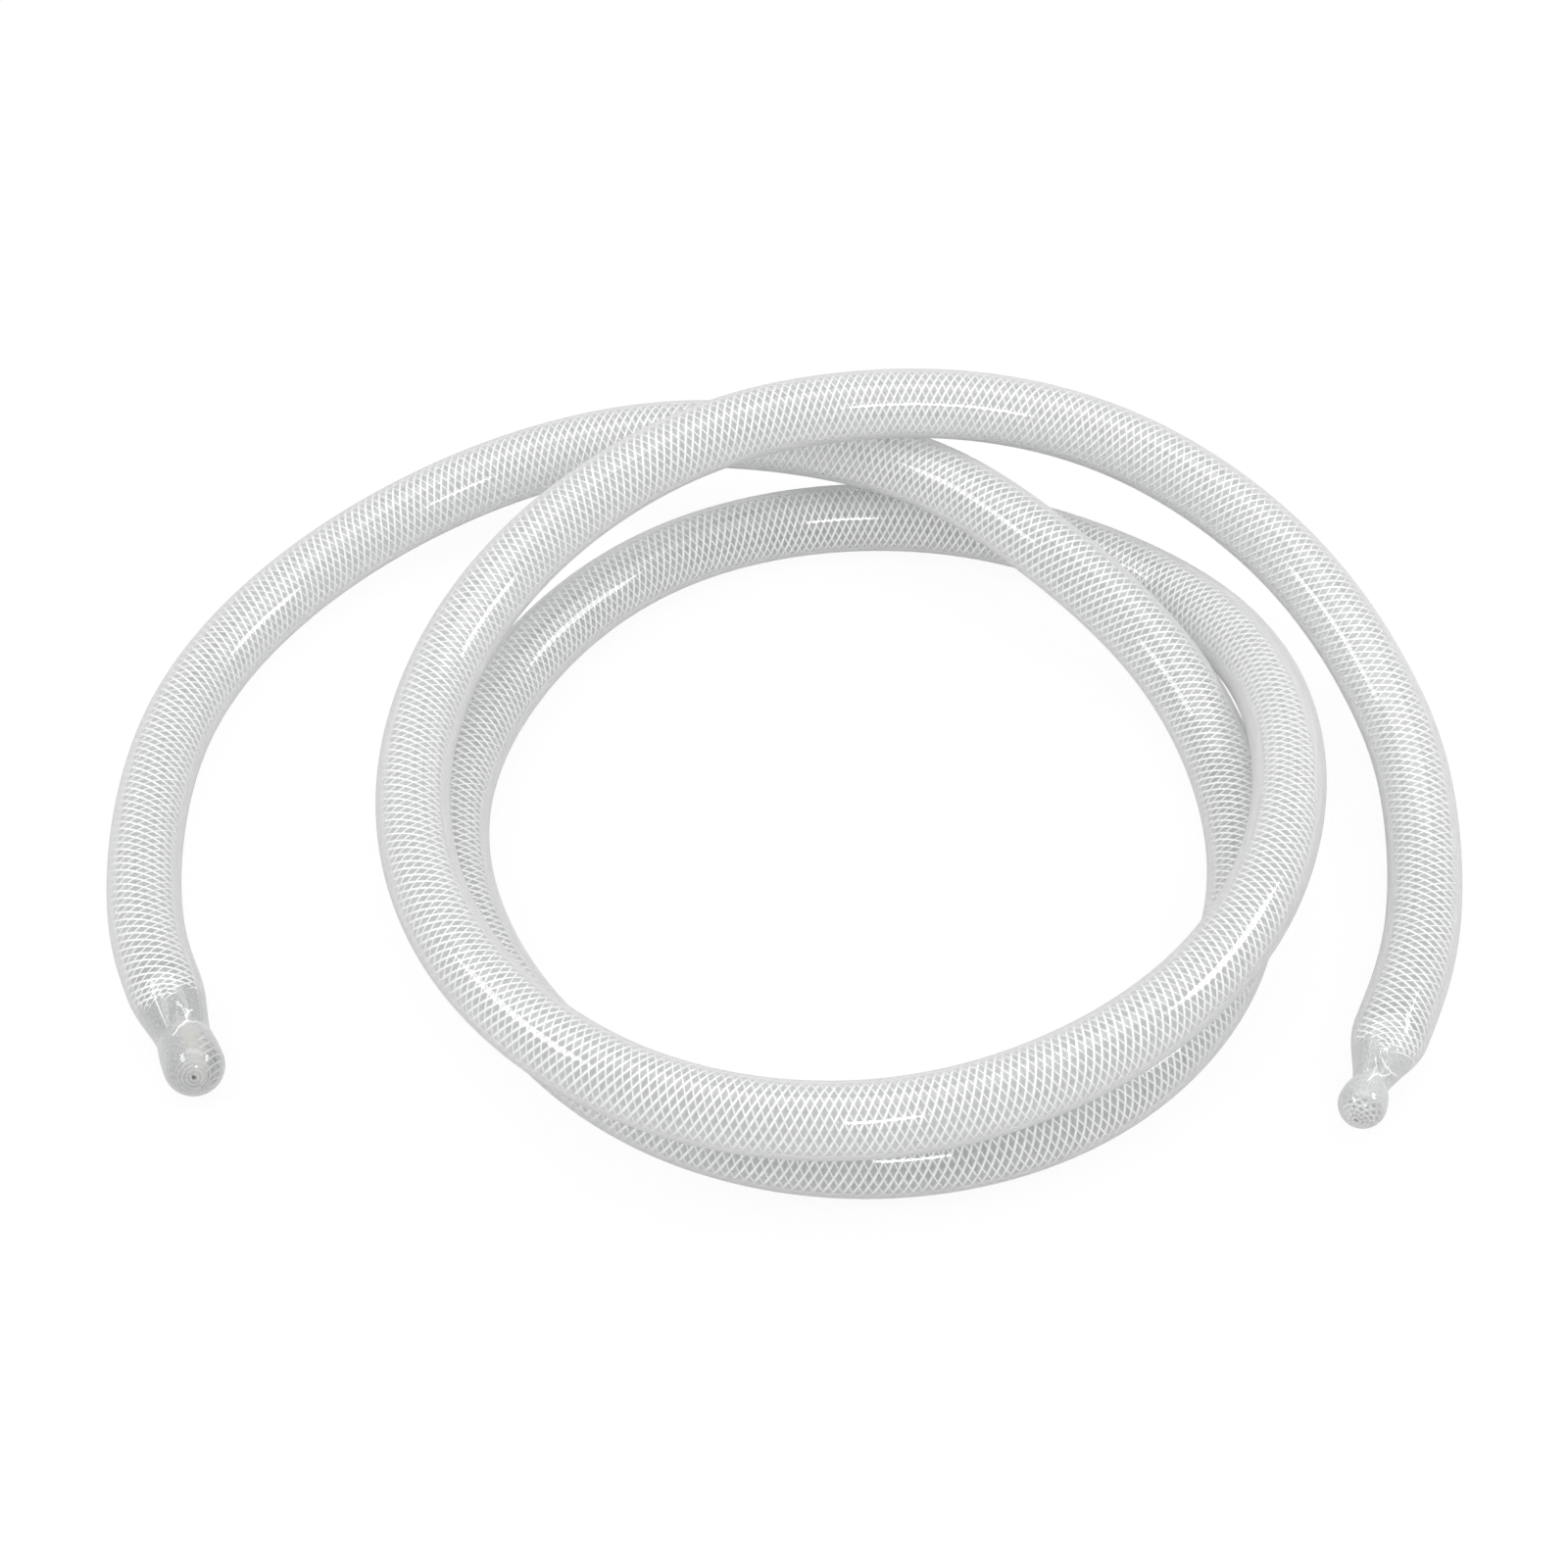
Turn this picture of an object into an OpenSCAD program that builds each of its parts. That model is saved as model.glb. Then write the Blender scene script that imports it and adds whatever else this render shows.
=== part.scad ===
// A clear hose with a woven reinforcement in its wall and both of its ends sealed shut.
// It lies in two loose loops, and its two free stretches run round to the front.
// Millimetres. +Z is up, the hose rests on z = 0, and both sealed ends point to -Y.

/* [Hose] */
// Bore of the hose
bore = 25.4; // [20:0.1:30]
// Wall of the inner tube
inner_wall = 2.2; // [1.4:0.1:3.2]
// Thickness of the braid between the two tubes
braid_thickness = 0.5; // [0.3:0.1:1]
// Wall of the outer jacket
jacket_wall = 1.85; // [1:0.05:3]
// Clearance between one layer of the hose and the next
layer_clearance = 0.1; // [0.05:0.01:0.2]

/* [Coil] */
// Radius of the loops, to the middle of the hose
coil_radius = 200; // [190:1:240]
// Clearance between the hose and the hose that it lies on
stack_clearance = 1; // [0.6:0.1:3]

/* [Sealed ends] */
// Length over which the hose narrows from its full width to a neck
taper_length = 33; // [26:0.5:40]
// Width of the right end at its neck
right_neck_width = 16.5; // [12:0.5:20]
// Width of the bulb beyond the right neck
right_bulb_width = 22; // [18:0.5:28]
// Length of the bulb beyond the right neck
right_bulb_length = 22; // [18:0.5:32]
// Width of the left end at its neck
left_neck_width = 25; // [18:0.5:27]
// Width of the bulb beyond the left neck
left_bulb_width = 28; // [24:0.5:32]
// Length of the bulb beyond the left neck
left_bulb_length = 30; // [24:0.5:38]
// Depth of each of the folds at a neck
fold_depth = 2; // [0.5:0.1:3]
// Length by which each fold runs back from a neck into the taper
fold_reach = 8; // [2:0.5:12]
// Depth of the closed bore inside a sealed end
blind_depth = 24; // [16:0.5:28]
// Radius of the puckered mouth at the tip of a bulb
mouth_radius = 2.5; // [1.5:0.1:4]
// Depth of the puckered mouth
mouth_depth = 3; // [1:0.1:6]

/* [Hidden] */

// The layers, from the bore outwards
bore_radius = bore / 2;
inner_tube_radius = bore_radius + inner_wall;
braid_bore_radius = inner_tube_radius + layer_clearance;
braid_radius = braid_bore_radius + braid_thickness;
jacket_bore_radius = braid_radius + layer_clearance;
hose_radius = jacket_bore_radius + jacket_wall;
hose_diameter = 2 * hose_radius;

// The hose is flat underneath where it rests, a tenth of its diameter deep
floor_height = hose_radius - hose_diameter / 10;
layer_lift = hose_diameter + stack_clearance;

// Sides of the hose and of a sealed end, whose folds fall on its corners
sides = 9;
end_sides = 2 * sides;
folds = 3;

// The coil, whose points stand at equal angles round its middle
coil_middle = [35, -15];
coil_start = 90;
coil_step = 30;
// How far the hose strays outwards from the coil's radius at each point, in hose diameters
stray = [
    0.2, 0, 0.2, 0.25, 0.35, 0.25, 0, -0.2, -0.05, 0.1, 0.55, 0.3,
    0, -0.1, -0.3, -0.15, -0.25, -0.1, -0.1, -0.05, -0.15, -0.5, -0.6, -0.85
];
// Free stretch from the right sealed end to the coil, drawn for loops of this radius
drawn_radius = 200;
right_run = [[278, -142], [302, -88], [308, -4], [296, 50], [258, 128], [164, 196]];
// Free stretch from the coil to the left sealed end
left_run = [
    [72, 192], [-32, 218], [-152, 206], [-250, 148], [-308, 46], [-304, -74], [-286, -116]
];
// Where the hose climbs: from this angle round the coil, to this one, by so many layers
climbs = [[-30, 95, 2], [90, 185, -1], [335, 430, -1], [715, 800, 1], [820, 885, -1]];

// A cubic B-spline passes inside its points, and a circle's points stand out by this factor
spline_bulge = 3 / (2 + cos(coil_step));
coil = [for (k = [0 : len(stray) - 1])
    coil_middle + (coil_radius + stray[k] * hose_diameter) * spline_bulge
        * [cos(coil_start + coil_step * k), sin(coil_start + coil_step * k)]];
guide = concat(sized(right_run), coil, sized(left_run));
last_guide = len(guide) - 1;
poles = concat(
    [2 * guide[0] - guide[1]], guide, [2 * guide[last_guide] - guide[last_guide - 1]]);

// Middles of the hose's rings, two to each stretch between guide points
rings_per_span = 2;
last_ring = last_guide * rings_per_span;
centres = [for (k = [0 : last_ring]) let (u = k / rings_per_span, p = plan(u))
    [p.x, p.y, floor_height + layer_lift * layers(turn(u))]];
right_heading = unit([guide[0].x - guide[1].x, guide[0].y - guide[1].y, 0]);
left_heading = unit([
    guide[last_guide].x - guide[last_guide - 1].x, guide[last_guide].y - guide[last_guide - 1].y, 0]);

function unit(v) = v / norm(v);

function total(values) = values * [for (v = values) 1];

// From 0 to 1 with no jolt at either end
function ease(x) = let (t = max(0, min(1, x))) t * t * t * (t * (6 * t - 15) + 10);

// A free stretch keeps its shape when the loops change their radius
function sized(run) = [for (p = run) coil_middle + (p - coil_middle) * coil_radius / drawn_radius];

// Place in plan at u guide points from the right end
function plan(u) =
    let (i = min(floor(u), last_guide - 1), t = u - i,
         weights = [pow(1 - t, 3), 3 * pow(t, 3) - 6 * t * t + 4,
                    3 * t + 3 * t * t - 3 * pow(t, 3) + 1, pow(t, 3)] / 6)
    weights * [for (k = [0 : 3]) poles[i + k]];

// Angle round the coil's middle, counted on from turn to turn
function turn(u) =
    let (p = plan(u) - coil_middle, seen = atan2(p.y, p.x),
         expected = coil_start + coil_step * (u - len(right_run)))
    seen + 360 * round((expected - seen) / 360);

// Layers of hose underneath at an angle round the coil
function layers(angle) = total([for (c = climbs) c[2] * ease((angle - c[0]) / (c[1] - c[0]))]);

function heading(k) =
    k == 0 ? -right_heading : k == last_ring ? left_heading : unit(centres[k + 1] - centres[k - 1]);

// Points of a ring square to the hose, the first at its top, none lower than a height
function ring(centre, along, radius, lowest) =
    let (side = unit(cross(along, [0, 0, 1])), up = cross(side, along))
    [for (k = [0 : sides - 1])
        let (a = 360 * k / sides, p = centre + radius * (cos(a) * up + sin(a) * side))
        [p.x, p.y, max(p.z, lowest)]];

// Rings of one surface of the hose, which the layers outside of it hold off the floor
function surface_rings(radius) =
    [for (k = [0 : last_ring]) ring(centres[k], heading(k), radius, hose_radius - radius)];

function reversed(list) = [for (k = [len(list) - 1 : -1 : 0]) list[k]];

function with_midpoints(points) =
    [for (k = [0 : len(points) - 1]) each [points[k], (points[k] + points[(k + 1) % len(points)]) / 2]];

// Two triangles between each side of ring a and ring b
function band(a, b, count) =
    [for (k = [0 : count - 1]) let (n = (k + 1) % count)
        each [[a * count + k, b * count + n, b * count + k], [a * count + k, a * count + n, b * count + n]]];

// Width of the taper, which draws in slowly and then steeply, as half of it
function taper_radius(x, neck_radius) =
    neck_radius + (hose_radius - neck_radius) * pow(sin(90 * (1 - x / taper_length)), 1.3);

// Stations along a sealed end: distance from the hose, radius, and strength of the folds
function taper_stations(neck_radius, steps) =
    [for (k = [1 : steps]) let (x = taper_length * k / steps)
        [x, taper_radius(x, neck_radius), pow(k / steps, 2)]];

// From the neck to the bulb's middle the bulb swells along a parabola
function swell_station(neck_radius, bulb_radius, length) =
    let (x = 0.5 * (length - bulb_radius))
    [taper_length + x, bulb_radius - 0.25 * (bulb_radius - neck_radius), 0.25];

// From its middle on, the bulb is half a sphere, open at the mouth
function dome_stations(bulb_radius, length, steps) =
    [for (k = [0 : steps]) let (a = k / steps * acos(mouth_radius / bulb_radius))
        [taper_length + length - bulb_radius + bulb_radius * sin(a), bulb_radius * cos(a), 0]];

// One ring of a sealed end, drawn in and back at each fold
function end_ring(base, along, station) =
    let (side = unit(cross(along, [0, 0, 1])))
    [for (k = [0 : end_sides - 1])
        let (a = 360 * k / end_sides,
             crease = station[2] * pow(max(0, cos(folds * a)), 2),
             r = station[1] - fold_depth * crease,
             p = base + along * (station[0] - fold_reach * crease)
                 + r * (cos(a) * [0, 0, 1] + sin(a) * side))
        [p.x, p.y, max(p.z, 0)]];

// Rings of a sealed end, from inside the closed bore out to the mouth
function end_rings(base, along, neck_radius, bulb_radius, bulb_length) =
    let (bore_ring = ring(base, along, bore_radius, hose_radius - bore_radius),
         rim = ring(base, along, hose_radius, 0),
         stations = concat(
             taper_stations(neck_radius, 4),
             [swell_station(neck_radius, bulb_radius, bulb_length)],
             dome_stations(bulb_radius, bulb_length, 4)))
    concat(
        [end_ring(base, along, [0.6 * blind_depth, 0.8 * bore_radius, 0])],
        [with_midpoints(bore_ring), with_midpoints(rim)],
        [for (s = stations) end_ring(base, along, s)]);

// Distance from a point to the line between two others
function reach_to(p, a, b) =
    let (d = b - a, t = max(0, min(1, (p - a) * d / (d * d)))) norm(p - a - t * d);

// Rings this far apart along the hose are its own neighbours, not another turn
neighbours = 4;
least_gap = min([for (i = [0 : last_ring]) for (j = [0 : last_ring - 1])
    if (abs(i - j) > neighbours && abs(i - j - 1) > neighbours)
        reach_to(centres[i], centres[j], centres[j + 1])]) - hose_diameter;
open_length = total([for (k = [0 : last_ring - 1]) norm(centres[k + 1] - centres[k])]);
echo(least_gap_to_itself = least_gap);
echo(hose_length = open_length + 2 * taper_length + right_bulb_length + left_bulb_length);
echo(hose_diameter = hose_diameter);

// One layer of the hose, open at both ends: its outside forwards, then its inside back again
module hose_layer(inside_radius, outside_radius) {
    rings = concat(surface_rings(outside_radius), reversed(surface_rings(inside_radius)));
    faces = [for (k = [0 : len(rings) - 1]) each band(k, (k + 1) % len(rings), sides)];
    polyhedron([for (r = rings) each r], faces);
}

// A hose end squeezed to a neck while hot, so that its layers melt into one and close
module sealed_end(base, along, neck_width, bulb_width, bulb_length) {
    rings = end_rings(base, along, neck_width / 2, bulb_width / 2, bulb_length);
    points = [for (r = rings) each r];
    bore_tip = base + along * blind_depth;
    mouth_bottom = base + along * (taper_length + bulb_length - mouth_depth);
    last = len(rings) - 1;
    bands = [for (k = [0 : last - 1]) each band(k, k + 1, end_sides)];
    bore_fan = [for (k = [0 : end_sides - 1]) [(k + 1) % end_sides, k, len(points)]];
    mouth_fan = [for (k = [0 : end_sides - 1])
        [last * end_sides + k, last * end_sides + (k + 1) % end_sides, len(points) + 1]];
    polyhedron(concat(points, [bore_tip, mouth_bottom]), concat(bands, bore_fan, mouth_fan));
}

module inner_tube() {
    color([0.88, 0.9, 0.9]) hose_layer(bore_radius, inner_tube_radius);
}

module braid_sleeve() {
    color("white") hose_layer(braid_bore_radius, braid_radius);
}

module outer_jacket() {
    color([0.93, 0.94, 0.94, 0.45]) hose_layer(jacket_bore_radius, hose_radius);
}

module right_sealed_end() {
    color([0.85, 0.86, 0.86])
        sealed_end(centres[0], right_heading, right_neck_width, right_bulb_width, right_bulb_length);
}

module left_sealed_end() {
    color([0.85, 0.86, 0.86])
        sealed_end(centres[last_ring], left_heading, left_neck_width, left_bulb_width, left_bulb_length);
}

inner_tube();
braid_sleeve();
outer_jacket();
right_sealed_end();
left_sealed_end();
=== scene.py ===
"""A clear braided hose that lies in loose loops, with both of its ends squeezed and melted shut.

Metres, +Z up, the hose rests on z = 0. The clear jacket is one glossy skin from the tip of one
sealed end to the tip of the other. Under it lie the two lays of yarn, the milky tube and, in each
sealed end, the body that the three layers melted into.
"""

import math

import bpy
import numpy as np
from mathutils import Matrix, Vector


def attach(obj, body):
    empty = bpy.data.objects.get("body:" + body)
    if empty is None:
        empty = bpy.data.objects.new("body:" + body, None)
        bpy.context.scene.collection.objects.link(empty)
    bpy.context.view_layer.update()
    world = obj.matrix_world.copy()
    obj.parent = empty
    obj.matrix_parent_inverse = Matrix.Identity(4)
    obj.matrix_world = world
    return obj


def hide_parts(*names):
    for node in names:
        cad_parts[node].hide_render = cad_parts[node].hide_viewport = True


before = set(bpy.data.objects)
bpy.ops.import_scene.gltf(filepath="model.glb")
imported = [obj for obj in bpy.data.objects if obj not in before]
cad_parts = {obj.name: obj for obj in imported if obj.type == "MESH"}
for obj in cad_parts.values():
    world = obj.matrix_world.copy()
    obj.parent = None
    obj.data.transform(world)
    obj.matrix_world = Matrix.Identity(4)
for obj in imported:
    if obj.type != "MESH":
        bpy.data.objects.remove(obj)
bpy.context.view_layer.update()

MM = 0.001

# ---------------------------------------------------------------------------- sizes
HOSE_RADIUS = 17.45 * MM
HOSE_DIAMETER = 2 * HOSE_RADIUS
FLOOR_HEIGHT = HOSE_RADIUS - HOSE_DIAMETER / 10     # of its middle, where it lies pressed flat
LAYER_LIFT = HOSE_DIAMETER + 1 * MM                 # from one layer of loops to the next
COIL_MIDDLE = np.array([35, -15]) * MM
COIL_RADIUS = 200 * MM
COIL_START, COIL_STEP = 90, 30
# How far the hose strays outwards from the coil's radius at each point, in hose diameters
STRAY = np.array([
    0.2, 0, 0.2, 0.25, 0.35, 0.25, 0, -0.2, -0.05, 0.1, 0.55, 0.3,
    0, -0.1, -0.3, -0.15, -0.25, -0.1, -0.1, -0.05, -0.15, -0.5, -0.6, -0.85])
RIGHT_RUN = np.array([[278, -142], [302, -88], [308, -4], [296, 50], [258, 128], [164, 196]]) * MM
LEFT_RUN = np.array([
    [72, 192], [-32, 218], [-152, 206], [-250, 148], [-308, 46], [-304, -74], [-286, -116]]) * MM
# Where the hose climbs: from this angle round the coil, to this one, by so many layers
CLIMBS = [(-30, 95, 2), (90, 185, -1), (335, 430, -1), (715, 800, 1), (820, 885, -1)]
RINGS_PER_SPAN = 24           # middles worked out between two of the route's points
HOSE_STEP = 7 * MM            # from ring to ring of its layers

TUBE_DEPTH = 2.55 * MM        # how far under the skin the milky tube lies, between the yarns
MELTED_DEPTH = 1.6 * MM       # and how far under it the melted ends lie, whose yarns are buried
UNDER_TUBE = 0.05 * MM        # how far under the tube a melted end starts
YARN_COUNT = 12               # yarns in each of the two lays
YARN_LEAD = 49 * MM           # length of hose in one turn of a yarn
YARN_RINGS = 32               # in each turn of a yarn
YARN_STOP = 0.2 * MM          # how far short of the tips the yarns end
CROWDING = 8 * MM             # hose length's worth of yarn that each taper takes in besides its own

TAPER_LENGTH = 33 * MM
FOLD_DEPTH = 2 * MM
FOLD_REACH = 8 * MM
FOLDS = 3
MOUTH_RADIUS = 1.2 * MM
MOUTH_DEPTH = 1 * MM

MELT_REACH = 12 * MM          # length of hose over which the tube's look gives way to the melt's
MELT_SIDES = 256
PLEAT_HEIGHT = 0.12 * MM
RING_PITCH = 1.8 * MM
RING_HEIGHT = 0.12 * MM
RINGS_RADIUS = 6 * MM         # the rings round the knot fade out between this radius and twice it
PIT_RADIUS = 0.6 * MM         # and so does the pit
PIT_DEPTH = 1.5 * MM
WHITE_WIDTH = 0.3 * MM        # of a white fold, to each side
WHITE_HEIGHT = 0.25 * MM
NECK_REACH = 10 * MM          # radius at which the white folds' angles are measured
# Lines where the plastic folded and whitened: distance beyond the hose in mm, degrees from the top
RIGHT_FOLDS = [
    [(26, -13), (30, -8), (33.5, 0), (36.8, -1), (39, -6)],
    [(26, 8), (25.5, 18), (26, 26), (26.3, 51), (24.5, 77)],
    [(38.5, -4), (35, 11), (31.3, 22), (30, 36), (27.5, 48)]]
LEFT_FOLDS = [
    [(37.8, 24), (38.3, 14), (37.5, -5), (33.8, -21), (32.8, -38), (35, -52), (37.3, -58)],
    [(33.8, -19), (30.5, -21), (27.3, -27), (26.3, -36)],
    [(27.3, -27), (26, -23)]]


# ---------------------------------------------------------------------------- the route
def unit(v):
    """Vectors along the last axis at length 1."""
    return v / np.linalg.norm(v, axis=-1, keepdims=True)


def ease(x):
    """0 to 1 along t^3 (6 t^2 - 15 t + 10), with no jolt at either end."""
    t = np.clip(x, 0, 1)
    return t ** 3 * (t * (6 * t - 15) + 10)


def guide_points():
    """The right run, the coil's points at equal angles round its middle, and the left run.

    A cubic B-spline passes inside its points, so the coil's stand out by 3 / (2 + cos(step))."""
    angles = np.radians(COIL_START + COIL_STEP * np.arange(len(STRAY)))
    bulge = 3 / (2 + math.cos(math.radians(COIL_STEP)))
    radii = (COIL_RADIUS + STRAY * HOSE_DIAMETER) * bulge
    coil = COIL_MIDDLE + radii[:, None] * np.stack([np.cos(angles), np.sin(angles)], 1)
    return np.concatenate([RIGHT_RUN, coil, LEFT_RUN])


def route(rings_per_span):
    """Middles of the hose: a uniform cubic B-spline in plan, whose height follows the climbs.

    Its weights are (1-t)^3, 3t^3-6t^2+4, 3t+3t^2-3t^3+1 and t^3, over 6."""
    guide = guide_points()
    poles = np.concatenate([[2 * guide[0] - guide[1]], guide, [2 * guide[-1] - guide[-2]]])
    spans = len(guide) - 1
    u = np.arange(spans * rings_per_span + 1) / rings_per_span
    i = np.minimum(u.astype(int), spans - 1)
    t = (u - i)[:, None]
    plan = ((1 - t) ** 3 * poles[i] + (3 * t ** 3 - 6 * t ** 2 + 4) * poles[i + 1]
            + (3 * t + 3 * t ** 2 - 3 * t ** 3 + 1) * poles[i + 2] + t ** 3 * poles[i + 3]) / 6
    reach = plan - COIL_MIDDLE
    turn = np.degrees(np.unwrap(np.arctan2(reach[:, 1], reach[:, 0])))
    layers = sum(rise * ease((turn - a) / (b - a)) for a, b, rise in CLIMBS)
    return np.column_stack([plan, FLOOR_HEIGHT + LAYER_LIFT * layers])


class Hose:
    """The hose's middle line, with a straight stretch at each end, looked up by distance.

    Distance 0 is the right end of the open hose. Its side is heading x Z, and up is side x heading."""

    def __init__(self, middles, overrun):
        flat = np.array([1, 1, 0])
        ahead = unit((middles[-1] - middles[-2]) * flat)
        back = unit((middles[0] - middles[1]) * flat)
        steps = np.linalg.norm(np.diff(middles, axis=0), axis=1)
        self.length = steps.sum()
        self.middles = middles
        self.at = np.concatenate([[-overrun], [0], np.cumsum(steps), [self.length + overrun]])
        self.points = np.concatenate(
            [[middles[0] + overrun * back], middles, [middles[-1] + overrun * ahead]])

    def look_up(self, s, values):
        """Values at distances s, in straight lines between the middles."""
        return np.stack([np.interp(s, self.at, values[:, k]) for k in range(3)], -1)

    def frames(self, s):
        """Point, side and up of the hose at distances s."""
        headings = unit(np.gradient(self.points, self.at, axis=0))
        along = unit(self.look_up(s, headings))
        side = unit(np.cross(along, [0, 0, 1]))
        return self.look_up(s, self.points), side, np.cross(side, along)


# ---------------------------------------------------------------------------- the sealed ends
class SealedEnd:
    """A hose end squeezed to a neck while hot, so that it closes in a rounded bulb.

    x is the distance beyond the open hose, and angles are counted from the top of the hose. The
    sign is -1 at the right end, where the distance along the hose falls towards the tip."""

    def __init__(self, name, sign, neck_width, bulb_width, bulb_length):
        self.name, self.sign = name, sign
        self.neck = neck_width / 2
        self.bulb = bulb_width / 2
        self.length = TAPER_LENGTH + bulb_length
        self.middle = self.length - self.bulb

    def beyond(self, s):
        """Distance beyond the open hose, 0 or less on it."""
        return -s if self.sign < 0 else s - hose.length

    def station(self, x):
        """Distance along the hose at x beyond its open part."""
        return -x if self.sign < 0 else hose.length + x

    def steps(self, fine):
        """Even steps to the bulb's middle, then equal angles round its dome."""
        dome = self.middle + self.bulb * np.sin(np.linspace(0, math.pi / 2, 32))
        return np.concatenate([np.arange(0, self.middle, fine), dome])

    def half_width(self, x):
        """The taper follows sin^1.3, the bulb swells as 1 - (1 - t)^2 and ends as half a sphere."""
        shut = np.sin(0.5 * math.pi * (1 - np.clip(x / TAPER_LENGTH, 0, 1))) ** 1.3
        taper = self.neck + (HOSE_RADIUS - self.neck) * shut
        t = np.clip((x - TAPER_LENGTH) / (self.middle - TAPER_LENGTH), 0, 1)
        swell = self.neck + (self.bulb - self.neck) * (1 - (1 - t) ** 2)
        past = np.clip(x - self.middle, 0, self.bulb)
        dome = np.sqrt(np.maximum(self.bulb ** 2 - past ** 2, 0))
        return np.where(x < TAPER_LENGTH, taper, np.where(x < self.middle, swell, dome))

    def folding(self, x, angle):
        """Strength of the folds, max(0, cos 3a)^2: they deepen to the neck and fade on the bulb."""
        rise = np.clip(x / TAPER_LENGTH, 0, 1) ** 2
        fall = np.clip((self.middle - x) / (self.middle - TAPER_LENGTH), 0, 1) ** 2
        return np.where(x < TAPER_LENGTH, rise, fall) * np.maximum(0, np.cos(FOLDS * angle)) ** 2

    def form(self, x, angle, depth):
        """Radius at a depth under the skin, and how far that point moves outwards along the hose.

        A layer under the dome keeps the dome's middle, and the mouth dips as (1 - r / R)^2."""
        lean = np.clip((x - self.middle) / self.bulb, 0, 1)
        fold = self.folding(x, angle)
        radius = self.half_width(x) - FOLD_DEPTH * fold - depth * np.sqrt(1 - lean ** 2)
        dip = MOUTH_DEPTH * np.clip(1 - radius / MOUTH_RADIUS, 0, 1) ** 2
        return radius, -FOLD_REACH * fold - depth * lean - dip


RIGHT_END = SealedEnd(
    "right_sealed_end", -1, neck_width=16.5 * MM, bulb_width=22 * MM, bulb_length=22 * MM)
LEFT_END = SealedEnd(
    "left_sealed_end", 1, neck_width=25 * MM, bulb_width=28 * MM, bulb_length=30 * MM)
ENDS = (RIGHT_END, LEFT_END)
hose = Hose(route(RINGS_PER_SPAN), max(end.length for end in ENDS))


def surface(s, angle, depth):
    """Points of the layer at a depth under the skin, pressed flat where the hose rests.

    s, angle and depth are arrays of one shape. The layers outside of one hold it off the floor."""
    radius, moved = HOSE_RADIUS - depth, np.zeros_like(s)
    for end in ENDS:
        x = end.beyond(s)
        drawn_in, outwards = end.form(np.maximum(x, 0), angle, depth)
        radius = np.where(x > 0, drawn_in, radius)
        moved = np.where(x > 0, end.sign * outwards, moved)
    middle, side, up = hose.frames(s + moved)
    p = middle + radius[..., None] * (
        np.cos(angle)[..., None] * up + np.sin(angle)[..., None] * side)
    p[..., 2] = np.maximum(p[..., 2], depth)
    return p


def stations(step, fine):
    """Distances from tip to tip: even steps along the hose, finer ones over its ends."""
    open_part = np.linspace(0, hose.length, int(hose.length / step))[1:-1]
    return np.concatenate([
        RIGHT_END.station(RIGHT_END.steps(fine))[::-1], open_part,
        LEFT_END.station(LEFT_END.steps(fine))])


def wound(s):
    """Distance as the yarns count it, which runs on faster where the tapers crowd them."""
    for end in ENDS:
        s = s + end.sign * CROWDING * ease(end.beyond(s) / TAPER_LENGTH)
    return s


# ---------------------------------------------------------------------------- meshes
def ring_faces(tubes, rings, sides):
    """Quads between neighbouring rings of each tube, which face outwards."""
    b, k, j = np.meshgrid(np.arange(tubes), np.arange(rings - 1), np.arange(sides), indexing="ij")
    n = (j + 1) % sides
    low, high = (b * rings + k) * sides, (b * rings + k + 1) * sides
    return np.stack([low + j, low + n, high + n, high + j], -1).reshape(-1, 4)


def cap_faces(tubes, rings, sides):
    """The two end faces of each tube."""
    start = np.arange(tubes)[:, None] * rings * sides
    first = start + np.arange(sides)[::-1]
    last = start + (rings - 1) * sides + np.arange(sides)
    return np.concatenate([first, last])


def tube_mesh(name, rings, uv=None):
    """A mesh object from an array of tubes x rings x sides x 3, closed at both ends.

    uv is an array of tubes x rings x (sides + 1) x 2, whose last column closes the seam."""
    tubes, count, sides, _ = rings.shape
    quads, caps = ring_faces(tubes, count, sides), cap_faces(tubes, count, sides)
    corners = np.concatenate([quads.ravel(), caps.ravel()])
    sizes = np.concatenate([np.full(len(quads), 4), np.full(len(caps), sides)])
    mesh = bpy.data.meshes.new(name)
    mesh.vertices.add(tubes * count * sides)
    mesh.vertices.foreach_set("co", rings.astype(np.float32).ravel())
    mesh.loops.add(len(corners))
    mesh.loops.foreach_set("vertex_index", corners.astype(np.int32))
    mesh.polygons.add(len(sizes))
    mesh.polygons.foreach_set("loop_start", (np.cumsum(sizes) - sizes).astype(np.int32))
    mesh.polygons.foreach_set("use_smooth", np.arange(len(sizes)) < len(quads))
    if uv is not None:
        b, k, j = np.meshgrid(
            np.arange(tubes), np.arange(count - 1), np.arange(sides), indexing="ij")
        quad_uv = np.stack([uv[b, k, j], uv[b, k, j + 1], uv[b, k + 1, j + 1], uv[b, k + 1, j]], -2)
        cap_uv = np.concatenate([uv[:, 0, :sides][:, ::-1], uv[:, -1, :sides]])
        layer = mesh.uv_layers.new(name="wrap")
        layer.data.foreach_set(
            "uv", np.concatenate([quad_uv.ravel(), cap_uv.ravel()]).astype(np.float32))
    mesh.update(calc_edges=True)
    mesh.validate()
    piece = bpy.data.objects.new(name, mesh)
    bpy.context.scene.collection.objects.link(piece)
    return piece


def wrapped(s, sides):
    """Distance along, as the yarns count it, and around the hose, for each ring and side."""
    around = 2 * math.pi * HOSE_RADIUS * np.arange(sides + 1) / sides
    return np.stack(np.broadcast_arrays(wound(s)[:, None], around), -1)[None]


def ring_grid(s, sides):
    """Distances and angles of the points of a ring at each of the distances s."""
    return np.broadcast_arrays(s[:, None], 2 * math.pi * np.arange(sides) / sides)


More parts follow.
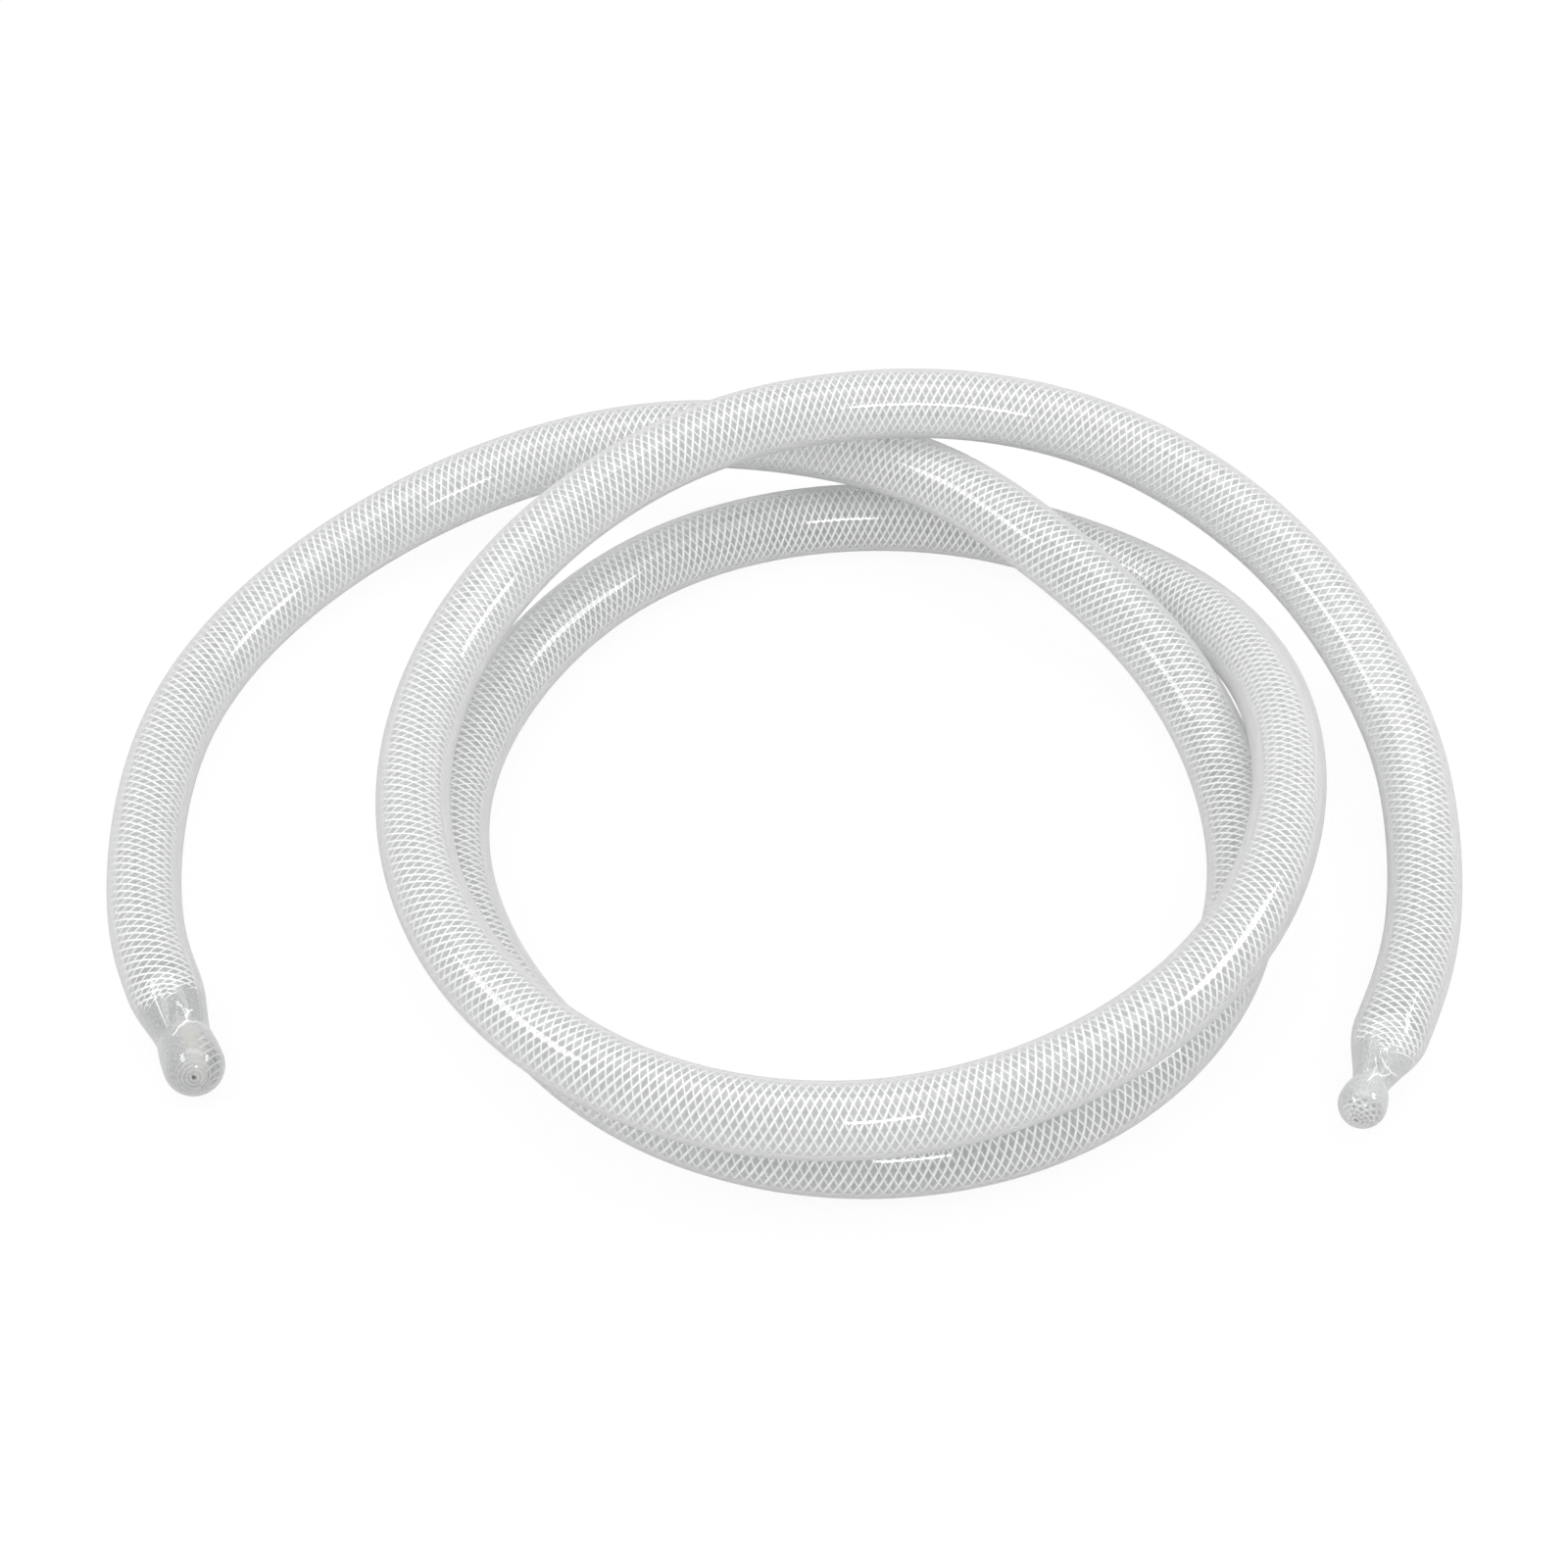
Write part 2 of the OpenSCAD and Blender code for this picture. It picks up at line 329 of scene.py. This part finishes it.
def round_layer(name, s, depth, sides):
    """A closed round layer of the hose at one depth under its skin."""
    grid_s, angle = ring_grid(s, sides)
    rings = surface(grid_s, angle, np.full(grid_s.shape, depth))
    return tube_mesh(name, rings[None], wrapped(s, sides))


class Lay:
    """All the yarns that are wound one way round the hose.

    Each goes round the hose once in every lead, at the angle hand * 2 pi * s / lead."""

    def __init__(self, name, hand, width, height, depth, phase):
        self.name, self.hand, self.phase = name, hand, phase
        self.width, self.height, self.depth = width, height, depth

    def mesh(self):
        """The yarns, with a low arch for a section: its two edges and its crown."""
        s = np.arange(RIGHT_END.station(RIGHT_END.length - YARN_STOP),
                      LEFT_END.station(LEFT_END.length - YARN_STOP), YARN_LEAD / YARN_RINGS)
        start = 2 * math.pi * (np.arange(YARN_COUNT) + self.phase) / YARN_COUNT
        turn = start[:, None] + self.hand * 2 * math.pi * wound(s) / YARN_LEAD
        # A yarn's width runs square to its own heading, on the hose's skin
        radius = HOSE_RADIUS - self.depth
        tilt = math.atan(2 * math.pi * radius / YARN_LEAD)
        offsets = np.array([-0.5, 0, 0.5]) * self.width
        grid_s = s[None, :, None] - self.hand * offsets * math.sin(tilt)
        grid_a = turn[..., None] + offsets * math.cos(tilt) / radius
        depth = self.depth - np.array([0, self.height, 0])
        rings = surface(*np.broadcast_arrays(grid_s, grid_a, depth))
        return tube_mesh(self.name, rings[:, :, ::self.hand])


LEFT_LAY = Lay(
    "yarns_left_lay", hand=-1, width=1.5 * MM, height=0.35 * MM, depth=2.55 * MM, phase=0.0)
RIGHT_LAY = Lay(
    "yarns_right_lay", hand=1, width=0.75 * MM, height=0.45 * MM, depth=2.4 * MM, phase=0.5)


# ---------------------------------------------------------------------------- the melted bodies
def near(x, around, line, width):
    """1 on a line of (distance, degrees round the neck) points, and exp(-(d / w)^2) beside it."""
    points = np.array([(a * MM, math.radians(b) * NECK_REACH) for a, b in line])
    closest = np.full(x.shape, np.inf)
    for start, end in zip(points[:-1], points[1:]):
        run = end - start
        t = np.clip(((x - start[0]) * run[0] + (around - start[1]) * run[1]) / (run @ run), 0, 1)
        closest = np.minimum(
            closest, np.hypot(x - start[0] - t * run[0], around - start[1] - t * run[1]))
    return np.exp(-(closest / width) ** 2)


def window(angle, middle, half_width, edge=35):
    """1 within an angle of a middle, both in degrees, easing to 0 over an edge beside it."""
    apart = np.abs((np.degrees(angle) - middle + 180) % 360 - 180)
    return 1 - ease((apart - half_width) / edge)


def melt_marks(end, x, angle, from_knot, lies_bare, white_folds, seam):
    """How strongly the melted body shows each of its marks, from 0 to 1.

    The rings are (0.5 + 0.5 cos(2 pi d / pitch + sin 3a))^3 at a distance d from the knot."""
    signed = (angle + math.pi) % (2 * math.pi) - math.pi
    wave = 0.5 + 0.5 * np.cos(2 * math.pi * from_knot / RING_PITCH + np.sin(3 * angle))
    return {
        "melt": ease(x / MELT_REACH),
        "bare": lies_bare(x - end.middle, angle),
        "white": sum(near(x, signed * NECK_REACH, line, WHITE_WIDTH) for line in white_folds),
        "rings": wave ** 3 * ease(2 - from_knot / RINGS_RADIUS),
        "pit": ease(2 - from_knot / PIT_RADIUS),
        "seam": ease((x - TAPER_LENGTH) / (6 * MM)) * window(angle, seam, 3)}


def melted_body(name, end, buried_from, buried_by, lies_bare, white_folds, seam, knot):
    """The melted body of a sealed end under its skin, whose marks its material reads.

    It rises over the yarns from one distance to another, and sinks again where they lie bare,
    which a function of the distance past the bulb's middle and the angle gives. Rings lie round its
    knot, a pit where the last of the bore closed. A knot is a distance and degrees from the top."""
    x = np.concatenate([[-2 * MM], end.steps(0.4 * MM)])
    grid_s, angle = ring_grid(end.station(x)[::end.sign], MELT_SIDES)
    x = end.beyond(grid_s)
    skin = surface(grid_s, angle, np.full(x.shape, MELTED_DEPTH))
    centre = surface(np.array(end.station(knot[0])), np.radians(knot[1]), np.array(MELTED_DEPTH))
    from_knot = np.linalg.norm(skin - centre, axis=-1)
    marks = melt_marks(end, x, angle, from_knot, lies_bare, white_folds, seam)
    wobble = 2 * MM * np.sin(3 * angle + 1) + 1.2 * MM * np.sin(7 * angle + 2)
    buried = ease((x - buried_from - wobble) / (buried_by - buried_from))
    sunk = np.maximum(1 - buried, 0.5 * marks["bare"])
    pleats = ease((x - 14 * MM) / (10 * MM)) * ease((end.middle - x) / (8 * MM))
    ripple = np.sin(17 * angle + x / (4 * MM)) * np.sin(5 * angle - x / (3 * MM))
    depth = (MELTED_DEPTH + (TUBE_DEPTH + UNDER_TUBE - MELTED_DEPTH) * sunk
             + PLEAT_HEIGHT * pleats * ripple - WHITE_HEIGHT * np.minimum(marks["white"], 1)
             - RING_HEIGHT * marks["rings"] + PIT_DEPTH * marks["pit"])
    body = tube_mesh(
        name, surface(grid_s, angle, depth)[None], wrapped(grid_s[:, 0], MELT_SIDES))
    for mark, values in marks.items():
        attribute = body.data.attributes.new(mark, "FLOAT", "POINT")
        attribute.data.foreach_set("value", values.astype(np.float32).ravel())
    return body


# ---------------------------------------------------------------------------- materials
TUBE_CLEAR = 0.25             # share of the milky tube that is plainly seen through
TUBE_GLOW = 0.75              # share of the rest that shows the light behind it
MILK_SHADOW = 0.7             # share of a lamp's light that milky plastic lets through
YARN_SHADOW = 0.6             # and that the yarns let through
HAZE_START = 0.25             # slant, from 0 face on to 1 edge on, at which the jacket turns milky
HAZE_RISE = 1.8               # and how fast it does, with more slant
HAZE_MOST = 0.9


class Socket:
    """An output socket that can be used in Python arithmetic."""

    def __init__(self, maker, socket):
        self.maker, self.socket = maker, socket

    def op(self, operation, *others):
        """A Math node on this socket and others or plain numbers."""
        return self.maker.node(
            "ShaderNodeMath", {"operation": operation}, dict(enumerate((self, *others))))

    def __add__(self, other):
        return self.op("ADD", other)

    def __sub__(self, other):
        return self.op("SUBTRACT", other)

    def __mul__(self, other):
        return self.op("MULTIPLY", other)

    def __rsub__(self, other):
        return (self * -1) + other

    __radd__, __rmul__ = __add__, __mul__

    def clamped(self):
        """The same value, held between 0 and 1 by its own node."""
        self.socket.node.use_clamp = True
        return self

    def clamp(self):
        """A node more that holds the value between 0 and 1."""
        return self.op("ADD", 0.0).clamped()


class Nodes:
    """A node tree: node() adds any node from its type, its settings and its inputs."""

    def __init__(self, tree):
        self.tree = tree
        self.tree.nodes.clear()

    def node(self, kind, settings=None, inputs=None, output=0):
        made = self.tree.nodes.new(kind)
        for key, value in (settings or {}).items():
            if key == "stops":
                ramp = made.color_ramp
                while len(ramp.elements) < len(value):
                    ramp.elements.new(0.5)
                for element, (place, colour) in zip(ramp.elements, value):
                    element.position, element.color = place, (*colour, 1)
            else:
                setattr(made, key, value)
        for key, value in (inputs or {}).items():
            if isinstance(value, Socket):
                self.tree.links.new(value.socket, made.inputs[key])
            else:
                made.inputs[key].default_value = value
        return Socket(self, made.outputs[output]) if made.outputs else None


class Material(Nodes):
    """A node material."""

    def __init__(self, name):
        self.material = bpy.data.materials.new(name)
        self.material.use_nodes = True
        super().__init__(self.material.node_tree)

    def surface(self, shader):
        self.node("ShaderNodeOutputMaterial", None, {"Surface": shader})
        return self.material


def sum_of_rays(m, *kinds):
    """1 for rays of any of these kinds, and 0 for others."""
    rays = [m.node("ShaderNodeLightPath", None, None, kind) for kind in kinds]
    return sum(rays[1:], rays[0]).clamped()


def lets_lamps_through(m, shader):
    """A shader that casts a weaker shadow, as fine yarns in milky plastic do."""
    clear = m.node("ShaderNodeBsdfTransparent", None, {"Color": (1, 1, 1, 1)})
    shadow = m.node("ShaderNodeLightPath", None, None, "Is Shadow Ray")
    return m.node("ShaderNodeMixShader", None, {0: shadow * YARN_SHADOW, 1: shader, 2: clear})


def between_yarns(m, lay):
    """0 along the middle of each yarn of a lay and 1 halfway between two, from the wrap map."""
    wrap = m.node("ShaderNodeUVMap", {"uv_map": "wrap"})
    along = m.node("ShaderNodeSeparateXYZ", None, {0: wrap}, "X")
    around = m.node("ShaderNodeSeparateXYZ", None, {0: wrap}, "Y")
    turns = (around * (YARN_COUNT / (2 * math.pi * HOSE_RADIUS))
             - along * (lay.hand * YARN_COUNT / YARN_LEAD) - lay.phase)
    return turns.op("PINGPONG", 0.5) * 2


def yarn_material(name, low, high, roughness, sheen):
    """White polyester with a satin sheen, a little uneven along its length."""
    m = Material(name)
    place = m.node("ShaderNodeTexCoord", None, None, "Object")
    uneven = m.node("ShaderNodeTexNoise", None, {"Vector": place, "Scale": 260.0, "Detail": 2.0})
    colour = m.node("ShaderNodeValToRGB", {"stops": [(0.3, low), (0.7, high)]}, {"Fac": uneven})
    satin = m.node("ShaderNodeBsdfPrincipled", None, {
        "Base Color": colour, "Roughness": roughness, "Metallic": sheen})
    return m.surface(lets_lamps_through(m, satin))


def milk(m, colour, roughness, clear_share, glow):
    """Milky plastic that is partly clear, lit from both of its sides, and that lamps shine through."""
    front = m.node("ShaderNodeBsdfPrincipled", None, {"Base Color": colour, "Roughness": roughness})
    back = m.node("ShaderNodeBsdfTranslucent", None, {"Color": colour})
    body = m.node("ShaderNodeMixShader", None, {0: glow, 1: front, 2: back})
    clear = m.node("ShaderNodeBsdfTransparent", None, {"Color": (1, 1, 1, 1)})
    shadow = m.node("ShaderNodeLightPath", None, None, "Is Shadow Ray")
    share = (shadow * MILK_SHADOW + clear_share).clamp()
    return m.surface(m.node("ShaderNodeMixShader", None, {0: share, 1: body, 2: clear}))


def tube_colour_with_gap_shade(m):
    """A little darker in the middle of each gap between the yarns: painted shade of the hose's inside.
    """
    place = m.node("ShaderNodeTexCoord", None, None, "Object")
    fine = m.node("ShaderNodeTexNoise", None, {"Vector": place, "Scale": 420.0, "Detail": 1.0})
    gap = between_yarns(m, LEFT_LAY).op("MINIMUM", between_yarns(m, RIGHT_LAY))
    return m.node("ShaderNodeValToRGB", {
        "stops": [(0.35, (0.79, 0.79, 0.79)), (0.8, (0.7, 0.7, 0.7))]},
        {"Fac": gap * 0.8 + fine * 0.2})


def tube_material():
    m = Material("milky_tube")
    return milk(m, tube_colour_with_gap_shade(m), 0.6, TUBE_CLEAR, TUBE_GLOW)


def melted_material(name, low, high):
    """Mottled grey milk, painted shade between bare yarns and in its pit, white folds, pale rings, a
    warm seam.
    """
    m = Material(name)

    def mark(mark_name):
        return m.node("ShaderNodeAttribute", {"attribute_name": mark_name}, None, "Fac")

    def blend(share, colour, grey, tint=(1, 1, 1)):
        other = (*(grey * c for c in tint), 1)
        return m.node("ShaderNodeMix", {"data_type": "RGBA"}, {0: share, 6: colour, 7: other}, 2)

    wrap = m.node("ShaderNodeUVMap", {"uv_map": "wrap"})
    streaks = m.node("ShaderNodeMapping", None, {"Vector": wrap, "Scale": (700, 1100, 1)})
    mottle = m.node("ShaderNodeTexNoise", None, {"Vector": streaks, "Scale": 1.0, "Detail": 3.0})
    gap = between_yarns(m, LEFT_LAY).op("MINIMUM", between_yarns(m, RIGHT_LAY))
    # The grey is a little darker in the gaps between the yarns: painted shade.
    grey = m.node("ShaderNodeValToRGB", {
        "stops": [(0.42, (low, low * 1.01, low * 1.02)), (0.58, (high, high * 1.005, high * 1.01))]},
        {"Fac": mottle - gap * 0.08})
    # Much darker between the yarns where they lie bare: painted shade between them.
    melted = blend((mark("bare") * (gap * 2 - 0.4)).clamp(), grey, low * 0.72, (1, 1.01, 1.02))
    melted = blend(mark("seam") * 0.7, melted, high, (1, 0.985, 0.93))
    melted = blend(mark("rings") * 0.9, melted, high * 1.2, (1, 0.99, 0.97))
    # Nearly black in the pit where the bore closed: painted shade in it.
    melted = blend(mark("pit"), melted, 0.16, (1, 0.9, 0.82))
    # The open hose's colour, with its painted gap shade, gives way to the melt's.
    tube = m.node("ShaderNodeMix", {"data_type": "RGBA"}, {
        0: mark("melt"), 6: tube_colour_with_gap_shade(m), 7: melted}, 2)
    whitened = blend((mark("white") * (mottle * 2)).clamp(), tube, 0.9)
    open_part = 1 - mark("melt")
    return milk(m, whitened, 0.7, open_part * TUBE_CLEAR, open_part * TUBE_GLOW)


def jacket_material():
    """Clear glossy skin that sinks a little between the yarns and lets the lamps through.

    At a slant its thickness makes it milky."""
    m = Material("clear_jacket")
    sunk = between_yarns(m, LEFT_LAY) * between_yarns(m, RIGHT_LAY)
    bump = m.node("ShaderNodeBump", {"invert": True}, {
        "Strength": 1.0, "Distance": 0.01 * MM, "Height": sunk})
    glass = m.node("ShaderNodeBsdfPrincipled", None, {
        "Base Color": (0.98, 0.985, 0.985, 1), "Roughness": 0.07, "IOR": 1.52,
        "Transmission Weight": 1.0, "Normal": bump})
    clear = m.node("ShaderNodeBsdfTransparent", None, {"Color": (0.98, 0.985, 0.985, 1)})
    through = sum_of_rays(m, "Is Shadow Ray", "Is Diffuse Ray", "Is Glossy Ray")
    haze = m.node("ShaderNodeBsdfDiffuse", None, {"Color": (0.54, 0.54, 0.54, 1)})
    facing = m.node("ShaderNodeLayerWeight", None, {"Blend": 0.5}, "Facing")
    slant = ((facing - HAZE_START) * HAZE_RISE).clamp() * HAZE_MOST
    skin = m.node("ShaderNodeMixShader", None, {0: slant, 1: glass, 2: haze})
    return m.surface(m.node("ShaderNodeMixShader", None, {0: through, 1: skin, 2: clear}))


# ---------------------------------------------------------------------------- the pieces
def dress(piece, material):
    """Gives a piece its finish and lets it ride on the hose's one body."""
    piece.data.materials.append(material)
    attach(piece, "root")
    return piece


def build_hose():
    jacket = dress(
        round_layer("jacket", stations(HOSE_STEP, 0.6 * MM), depth=0.0, sides=96),
        jacket_material())
    tube_s = np.linspace(0, hose.length, int(hose.length / HOSE_STEP))
    tube = dress(
        round_layer("milky_tube", tube_s, depth=TUBE_DEPTH, sides=48),
        tube_material())
    soft = yarn_material(
        "soft_yarn", low=(0.80, 0.80, 0.81), high=(0.88, 0.88, 0.88), roughness=0.5, sheen=0.1)
    crisp = yarn_material(
        "crisp_yarn", low=(0.86, 0.86, 0.87), high=(0.93, 0.93, 0.93), roughness=0.4, sheen=0.15)
    inner = dress(LEFT_LAY.mesh(), soft)
    outer = dress(RIGHT_LAY.mesh(), crisp)
    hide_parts("outer_jacket")
    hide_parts("inner_tube")
    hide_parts("braid_sleeve")
    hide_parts("braid_sleeve")
    return jacket, tube, inner, outer


def build_ends():
    """The right bulb's yarns lie bare round its mouth, and the left one's down one side too."""
    right = melted_body(
        "right_melted_body", RIGHT_END, buried_from=12 * MM, buried_by=24 * MM,
        lies_bare=lambda past, angle: ease(past / (6 * MM)) * window(angle, 40, 70),
        white_folds=RIGHT_FOLDS, seam=200, knot=(55 * MM, 100))
    left = melted_body(
        "left_melted_body", LEFT_END, buried_from=10 * MM, buried_by=24 * MM,
        lies_bare=lambda past, angle: ease((past + 13 * MM) / (7 * MM)) * window(angle, -65, 35),
        white_folds=LEFT_FOLDS, seam=-14, knot=(61 * MM, 21))
    # The left end's grey is darker than the right end's.
    dress(right, melted_material("right_melt", low=0.4, high=0.55))
    dress(left, melted_material("left_melt", low=0.3, high=0.44))
    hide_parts(RIGHT_END.name)
    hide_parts(LEFT_END.name)
    return right, left


jacket, tube, inner_yarns, outer_yarns = build_hose()
ends = build_ends()

tips = hose.look_up(
    np.array([RIGHT_END.station(RIGHT_END.length), LEFT_END.station(LEFT_END.length)]), hose.points)


# ---------------------------------------------------------------------------- floor, light, camera
SKY_LIGHT = 0.73              # of plain white, from the front and the sides
SKY_RISE = 0.12               # how much brighter it is where it is brightest, overhead and behind
FLOOR_REACH = 6.0
FLOOR_TOP = -0.5 * MM
CAMERA_PITCH = 50
CAMERA_LENS = 76.3
CAMERA_DISTANCE = 1.634775
CAMERA_AIM = Vector((0.0005, 0.020, -0.0035))
LAMPS_AIM = (0, 0, 0)
LAMPS = [                     # name, place, size and power in watts
    ("left_softbox", (-1.2, -0.2, 1.42), (0.9, 0.4), 9),
    ("right_softbox", (1.35, 0.1, 1.22), (0.8, 0.36), 8),
    ("overhead_softbox", (0, 0.45, 1.7), (2.0, 0.8), 9),
    ("front_lamp", (0.34, -1.38, 1.42), (0.42, 0.2), 5)]


def seen_plainly(m, *kinds):
    """1 for rays of any of these kinds that no matt surface has spread."""
    return sum_of_rays(m, *kinds) * (1 - m.node("ShaderNodeLightPath", None, None, "Is Diffuse Ray"))


def build_floor():
    """Pale floor, which the camera, reflections and clear pieces show almost plain white."""
    m = Material("pale_floor")
    seen = seen_plainly(m, "Is Camera Ray", "Is Glossy Ray", "Is Transmission Ray")
    paint = m.node("ShaderNodeBsdfDiffuse", None, {"Color": (0.8, 0.8, 0.8, 1)})
    white = m.node("ShaderNodeEmission", None, {"Color": (1, 1, 1, 1), "Strength": 1.0})
    mesh = bpy.data.meshes.new("floor")
    corners = [(-1, -1), (1, -1), (1, 1), (-1, 1)]
    mesh.from_pydata(
        [(FLOOR_REACH * x, FLOOR_REACH * y, FLOOR_TOP) for x, y in corners], [], [(0, 1, 2, 3)])
    floor = bpy.data.objects.new("floor", mesh)
    floor.data.materials.append(m.surface(
        m.node("ShaderNodeMixShader", None, {0: seen * 0.9, 1: paint, 2: white})))
    bpy.context.scene.collection.objects.link(floor)


def build_world():
    """A soft sky, brightest overhead and behind, and plain white where the camera sees it."""
    world = bpy.data.worlds.new("studio")
    world.use_nodes = True
    bpy.context.scene.world = world
    m = Nodes(world.node_tree)
    seen = seen_plainly(m, "Is Camera Ray", "Is Transmission Ray")
    heading = m.node("ShaderNodeTexCoord", None, None, "Generated")
    height = m.node("ShaderNodeVectorMath", {"operation": "DOT_PRODUCT"}, {
        0: heading, 1: (0, 0.4, 0.92)}, "Value")
    light = height.clamp() * SKY_RISE + SKY_LIGHT
    sky = m.node("ShaderNodeBackground", None, {
        "Color": (1, 1, 1, 1), "Strength": light + seen * (1 - light)})
    m.node("ShaderNodeOutputWorld", None, {"Surface": sky})


def add_lamp(name, place, size, power):
    """A rectangle of light that looks at the middle of the loops."""
    light = bpy.data.lights.new(name, "AREA")
    light.shape, light.size, light.size_y = "RECTANGLE", *size
    light.energy = power
    lamp = bpy.data.objects.new(name, light)
    lamp.location = place
    heading = Vector(LAMPS_AIM) - Vector(place)
    lamp.rotation_euler = heading.to_track_quat("-Z", "Y").to_euler()
    bpy.context.scene.collection.objects.link(lamp)


def build_camera():
    """Looks down at the middle of the loops, square to the hose's width."""
    data = bpy.data.cameras.new("camera")
    data.lens, data.sensor_width = CAMERA_LENS, 36
    camera = bpy.data.objects.new("camera", data)
    pitch = math.radians(CAMERA_PITCH)
    camera.location = CAMERA_AIM + CAMERA_DISTANCE * Vector((0, -math.cos(pitch), math.sin(pitch)))
    camera.rotation_euler = (math.radians(90) - pitch, 0, 0)
    bpy.context.scene.collection.objects.link(camera)
    bpy.context.scene.camera = camera


build_floor()
build_world()
for lamp in LAMPS:
    add_lamp(*lamp)
build_camera()
bpy.context.scene.view_settings.view_transform = "Standard"
